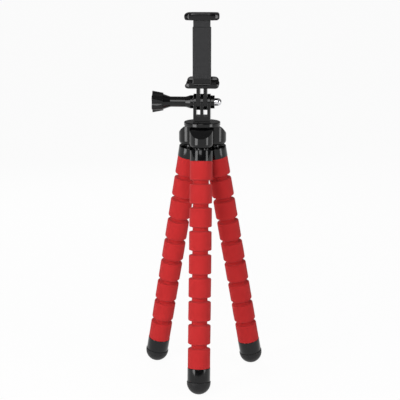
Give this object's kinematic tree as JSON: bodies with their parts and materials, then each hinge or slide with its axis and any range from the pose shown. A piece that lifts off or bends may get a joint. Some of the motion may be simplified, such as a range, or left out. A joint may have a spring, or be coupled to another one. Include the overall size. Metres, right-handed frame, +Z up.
{
  "type": "flexible leg tripod",
  "caption": "Small tripod with bendable ribbed foam legs on wire cores, a lobed hub, and a tilting sprung phone clamp held by a thumbscrew.",
  "frame": {"origin": "on the floor, under the middle of the box round the three feet", "axes": "+Z up; -Y towards the front leg, which faces the picture's camera; the thumbscrew lies along -X"},
  "size_m": [0.1112, 0.0992, 0.3318],
  "materials": {
    "red_foam": "matte",
    "black_gloss": "gloss",
    "black_satin": "satin",
    "rubber": "matte",
    "steel": "satin",
    "polished_steel": "polished",
    "brass": "satin",
    "wire": "satin"
  },
  "bodies": {
    "hub": {"hub_shell": "black_gloss", "hub_base": "black_gloss", "hub_screw": "steel", "camera_stud": "steel", "friction_pad": "rubber", "armature_ferrules": "steel", "front_leg_armature": "wire", "left_leg_armature": "wire", "right_leg_armature": "wire"},
    "head_adapter": {"mount_adapter": "black_gloss", "thread_insert": "brass", "dome_nut": "polished_steel"},
    "thumbscrew": {"thumbscrew_knob": "black_gloss", "thumbscrew_bolt": "steel"},
    "phone_clamp": {"clamp_body": "black_satin", "column_cover": "black_satin", "cover_screws": "steel", "rest_pad": "rubber", "lower_jaw_pad": "rubber", "lower_spring_pin": "steel", "jaw_spring": "steel"},
    "sliding_jaw": {"upper_jaw": "black_satin", "upper_jaw_pad": "rubber", "upper_spring_pin": "steel"},
    "front_leg_1": {"front_leg_collar": "black_gloss", "front_leg_foam_1": "red_foam"},
    "front_leg_2": {"front_leg_foam_2": "red_foam"},
    "front_leg_3": {"front_leg_foam_3": "red_foam"},
    "front_leg_4": {"front_leg_foam_4": "red_foam"},
    "front_leg_5": {"front_leg_foam_5": "red_foam"},
    "front_leg_6": {"front_leg_foam_6": "red_foam"},
    "front_leg_7": {"front_leg_foam_7": "red_foam"},
    "front_leg_8": {"front_leg_foam_8": "red_foam"},
    "front_leg_9": {"front_leg_foam_9": "red_foam", "front_foot_collar": "black_gloss", "front_foot_pad": "rubber"},
    "left_leg_1": {"left_leg_collar": "black_gloss", "left_leg_foam_1": "red_foam"},
    "left_leg_2": {"left_leg_foam_2": "red_foam"},
    "left_leg_3": {"left_leg_foam_3": "red_foam"},
    "left_leg_4": {"left_leg_foam_4": "red_foam"},
    "left_leg_5": {"left_leg_foam_5": "red_foam"},
    "left_leg_6": {"left_leg_foam_6": "red_foam"},
    "left_leg_7": {"left_leg_foam_7": "red_foam"},
    "left_leg_8": {"left_leg_foam_8": "red_foam"},
    "left_leg_9": {"left_leg_foam_9": "red_foam", "left_foot_collar": "black_gloss", "left_foot_pad": "rubber"},
    "right_leg_1": {"right_leg_collar": "black_gloss", "right_leg_foam_1": "red_foam"},
    "right_leg_2": {"right_leg_foam_2": "red_foam"},
    "right_leg_3": {"right_leg_foam_3": "red_foam"},
    "right_leg_4": {"right_leg_foam_4": "red_foam"},
    "right_leg_5": {"right_leg_foam_5": "red_foam"},
    "right_leg_6": {"right_leg_foam_6": "red_foam"},
    "right_leg_7": {"right_leg_foam_7": "red_foam"},
    "right_leg_8": {"right_leg_foam_8": "red_foam"},
    "right_leg_9": {"right_leg_foam_9": "red_foam", "right_foot_collar": "black_gloss", "right_foot_pad": "rubber"}
  },
  "joints": [
    {"name": "head_pan", "type": "hinge", "parent": "hub", "child": "head_adapter", "pos_m": [0, 0.01299, 0.23244], "axis": [0, 0, 1], "continuous": true},
    {"name": "clamp_tilt", "type": "hinge", "parent": "head_adapter", "child": "phone_clamp", "pos_m": [0, 0.01299, 0.25409], "axis": [1, 0, 0], "range_deg": [-90, 90]},
    {"name": "thumbscrew_turn", "type": "hinge", "parent": "head_adapter", "child": "thumbscrew", "pos_m": [0, 0.01299, 0.25409], "axis": [1, 0, 0], "continuous": true},
    {"name": "jaw_open", "type": "slide", "parent": "phone_clamp", "child": "sliding_jaw", "axis": [0, 0, 1], "range_m": [0, 0.03], "stiffness_N_per_m": 180, "springref_m": -0.025, "deforming": ["jaw_spring"]},
    {"name": "front_leg_splay", "type": "hinge", "parent": "hub", "child": "front_leg_1", "pos_m": [0, 0.00059, 0.21384], "axis": [-1, 0, 0], "range_deg": [-11, 7.2], "deforming": ["front_leg_armature"]},
    {"name": "front_leg_bend_1", "type": "hinge", "parent": "front_leg_1", "child": "front_leg_2", "pos_m": [0, -0.00494, 0.18537], "axis": [1, 0, 0], "range_deg": [-20, 20], "deforming": ["front_leg_armature"]},
    {"name": "front_leg_bend_2", "type": "hinge", "parent": "front_leg_2", "child": "front_leg_3", "pos_m": [0, -0.00891, 0.16496], "axis": [0, -0.9816, 0.1908], "range_deg": [-20, 20], "deforming": ["front_leg_armature"]},
    {"name": "front_leg_bend_3", "type": "hinge", "parent": "front_leg_3", "child": "front_leg_4", "pos_m": [0, -0.01288, 0.14454], "axis": [-1, 0, 0], "range_deg": [-20, 20], "deforming": ["front_leg_armature"]},
    {"name": "front_leg_bend_4", "type": "hinge", "parent": "front_leg_4", "child": "front_leg_5", "pos_m": [0, -0.01685, 0.12412], "axis": [0, 0.9816, -0.1908], "range_deg": [-20, 20], "deforming": ["front_leg_armature"]},
    {"name": "front_leg_bend_5", "type": "hinge", "parent": "front_leg_5", "child": "front_leg_6", "pos_m": [0, -0.02082, 0.1037], "axis": [1, 0, 0], "range_deg": [-20, 20], "deforming": ["front_leg_armature"]},
    {"name": "front_leg_bend_6", "type": "hinge", "parent": "front_leg_6", "child": "front_leg_7", "pos_m": [0, -0.02479, 0.08328], "axis": [0, -0.9816, 0.1908], "range_deg": [-20, 20], "deforming": ["front_leg_armature"]},
    {"name": "front_leg_bend_7", "type": "hinge", "parent": "front_leg_7", "child": "front_leg_8", "pos_m": [0, -0.02876, 0.06287], "axis": [-1, 0, 0], "range_deg": [-20, 20], "deforming": ["front_leg_armature"]},
    {"name": "front_leg_bend_8", "type": "hinge", "parent": "front_leg_8", "child": "front_leg_9", "pos_m": [0, -0.03273, 0.04245], "axis": [0, 0.9816, -0.1908], "range_deg": [-20, 20], "deforming": ["front_leg_armature"]},
    {"name": "left_leg_splay", "type": "hinge", "parent": "hub", "child": "left_leg_1", "pos_m": [-0.01074, 0.01919, 0.21384], "axis": [0.5, 0.866, 0], "range_deg": [-11, 7.2], "deforming": ["left_leg_armature"]},
    {"name": "left_leg_bend_1", "type": "hinge", "parent": "left_leg_1", "child": "left_leg_2", "pos_m": [-0.01553, 0.02196, 0.18537], "axis": [-0.5, -0.866, 0], "range_deg": [-20, 20], "deforming": ["left_leg_armature"]},
    {"name": "left_leg_bend_2", "type": "hinge", "parent": "left_leg_2", "child": "left_leg_3", "pos_m": [-0.01897, 0.02394, 0.16496], "axis": [-0.8501, 0.4908, 0.1908], "range_deg": [-20, 20], "deforming": ["left_leg_armature"]},
    {"name": "left_leg_bend_3", "type": "hinge", "parent": "left_leg_3", "child": "left_leg_4", "pos_m": [-0.02241, 0.02592, 0.14454], "axis": [0.5, 0.866, 0], "range_deg": [-20, 20], "deforming": ["left_leg_armature"]},
    {"name": "left_leg_bend_4", "type": "hinge", "parent": "left_leg_4", "child": "left_leg_5", "pos_m": [-0.02584, 0.02791, 0.12412], "axis": [0.8501, -0.4908, -0.1908], "range_deg": [-20, 20], "deforming": ["left_leg_armature"]},
    {"name": "left_leg_bend_5", "type": "hinge", "parent": "left_leg_5", "child": "left_leg_6", "pos_m": [-0.02928, 0.02989, 0.1037], "axis": [-0.5, -0.866, 0], "range_deg": [-20, 20], "deforming": ["left_leg_armature"]},
    {"name": "left_leg_bend_6", "type": "hinge", "parent": "left_leg_6", "child": "left_leg_7", "pos_m": [-0.03272, 0.03188, 0.08328], "axis": [-0.8501, 0.4908, 0.1908], "range_deg": [-20, 20], "deforming": ["left_leg_armature"]},
    {"name": "left_leg_bend_7", "type": "hinge", "parent": "left_leg_7", "child": "left_leg_8", "pos_m": [-0.03615, 0.03386, 0.06287], "axis": [0.5, 0.866, 0], "range_deg": [-20, 20], "deforming": ["left_leg_armature"]},
    {"name": "left_leg_bend_8", "type": "hinge", "parent": "left_leg_8", "child": "left_leg_9", "pos_m": [-0.03959, 0.03585, 0.04245], "axis": [0.8501, -0.4908, -0.1908], "range_deg": [-20, 20], "deforming": ["left_leg_armature"]},
    {"name": "right_leg_splay", "type": "hinge", "parent": "hub", "child": "right_leg_1", "pos_m": [0.01074, 0.01919, 0.21384], "axis": [0.5, -0.866, 0], "range_deg": [-11, 7.2], "deforming": ["right_leg_armature"]},
    {"name": "right_leg_bend_1", "type": "hinge", "parent": "right_leg_1", "child": "right_leg_2", "pos_m": [0.01553, 0.02196, 0.18537], "axis": [-0.5, 0.866, 0], "range_deg": [-20, 20], "deforming": ["right_leg_armature"]},
    {"name": "right_leg_bend_2", "type": "hinge", "parent": "right_leg_2", "child": "right_leg_3", "pos_m": [0.01897, 0.02394, 0.16496], "axis": [0.8501, 0.4908, 0.1908], "range_deg": [-20, 20], "deforming": ["right_leg_armature"]},
    {"name": "right_leg_bend_3", "type": "hinge", "parent": "right_leg_3", "child": "right_leg_4", "pos_m": [0.02241, 0.02592, 0.14454], "axis": [0.5, -0.866, 0], "range_deg": [-20, 20], "deforming": ["right_leg_armature"]},
    {"name": "right_leg_bend_4", "type": "hinge", "parent": "right_leg_4", "child": "right_leg_5", "pos_m": [0.02584, 0.02791, 0.12412], "axis": [-0.8501, -0.4908, -0.1908], "range_deg": [-20, 20], "deforming": ["right_leg_armature"]},
    {"name": "right_leg_bend_5", "type": "hinge", "parent": "right_leg_5", "child": "right_leg_6", "pos_m": [0.02928, 0.02989, 0.1037], "axis": [-0.5, 0.866, 0], "range_deg": [-20, 20], "deforming": ["right_leg_armature"]},
    {"name": "right_leg_bend_6", "type": "hinge", "parent": "right_leg_6", "child": "right_leg_7", "pos_m": [0.03272, 0.03188, 0.08328], "axis": [0.8501, 0.4908, 0.1908], "range_deg": [-20, 20], "deforming": ["right_leg_armature"]},
    {"name": "right_leg_bend_7", "type": "hinge", "parent": "right_leg_7", "child": "right_leg_8", "pos_m": [0.03615, 0.03386, 0.06287], "axis": [0.5, -0.866, 0], "range_deg": [-20, 20], "deforming": ["right_leg_armature"]},
    {"name": "right_leg_bend_8", "type": "hinge", "parent": "right_leg_8", "child": "right_leg_9", "pos_m": [0.03959, 0.03585, 0.04245], "axis": [-0.8501, -0.4908, -0.1908], "range_deg": [-20, 20], "deforming": ["right_leg_armature"]}
  ]
}
